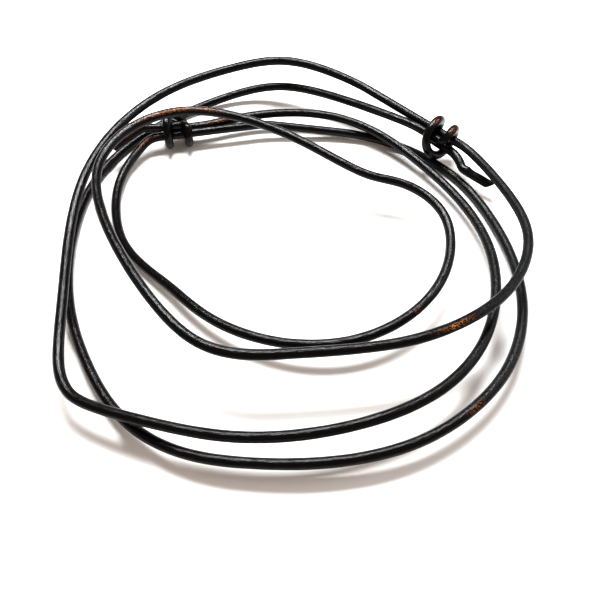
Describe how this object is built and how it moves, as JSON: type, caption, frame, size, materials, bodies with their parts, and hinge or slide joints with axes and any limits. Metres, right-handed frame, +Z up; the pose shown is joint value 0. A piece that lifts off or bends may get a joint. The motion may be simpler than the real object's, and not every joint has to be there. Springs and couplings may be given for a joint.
{
  "type": "eyeglass retainer cord",
  "caption": "Round black leather cord tied into an adjustable ring by two sliding knots, lying in a loose coil.",
  "frame": {"origin": "middle of the coil's footprint, on the surface it lies on", "axes": "+Z up, +X to the right along the coil's width, +Y away along its depth, from the front strand towards the knots"},
  "size_m": [0.0818, 0.0852, 0.0121],
  "materials": {
    "black_leather": "black-dyed round leather, semi-gloss, rubbed brown in places",
    "raw_leather": "undyed leather core at the cut, matt"
  },
  "bodies": {
    "cord": {"neck_strand": "black_leather", "rear_strand": "black_leather", "front_strand": "black_leather", "right_run": "black_leather", "left_run": "black_leather", "right_lead": "black_leather", "left_lead": "black_leather"},
    "right_sliding_knot": {"right_knot": "black_leather", "right_tail": "black_leather", "right_cut_end": "raw_leather"},
    "left_sliding_knot": {"left_knot": "black_leather", "left_tail": "black_leather", "left_cut_end": "raw_leather"}
  },
  "joints": [
    {"name": "right_knot_slide", "type": "slide", "parent": "cord", "child": "right_sliding_knot", "axis": [-0.7621, 0.643, 0.0762], "range_m": [0, 0.011], "deforming": ["right_lead"]},
    {"name": "left_knot_slide", "type": "slide", "parent": "cord", "child": "left_sliding_knot", "axis": [0.9835, 0.1808, 0], "range_m": [0, 0.011], "deforming": ["left_lead"]}
  ]
}
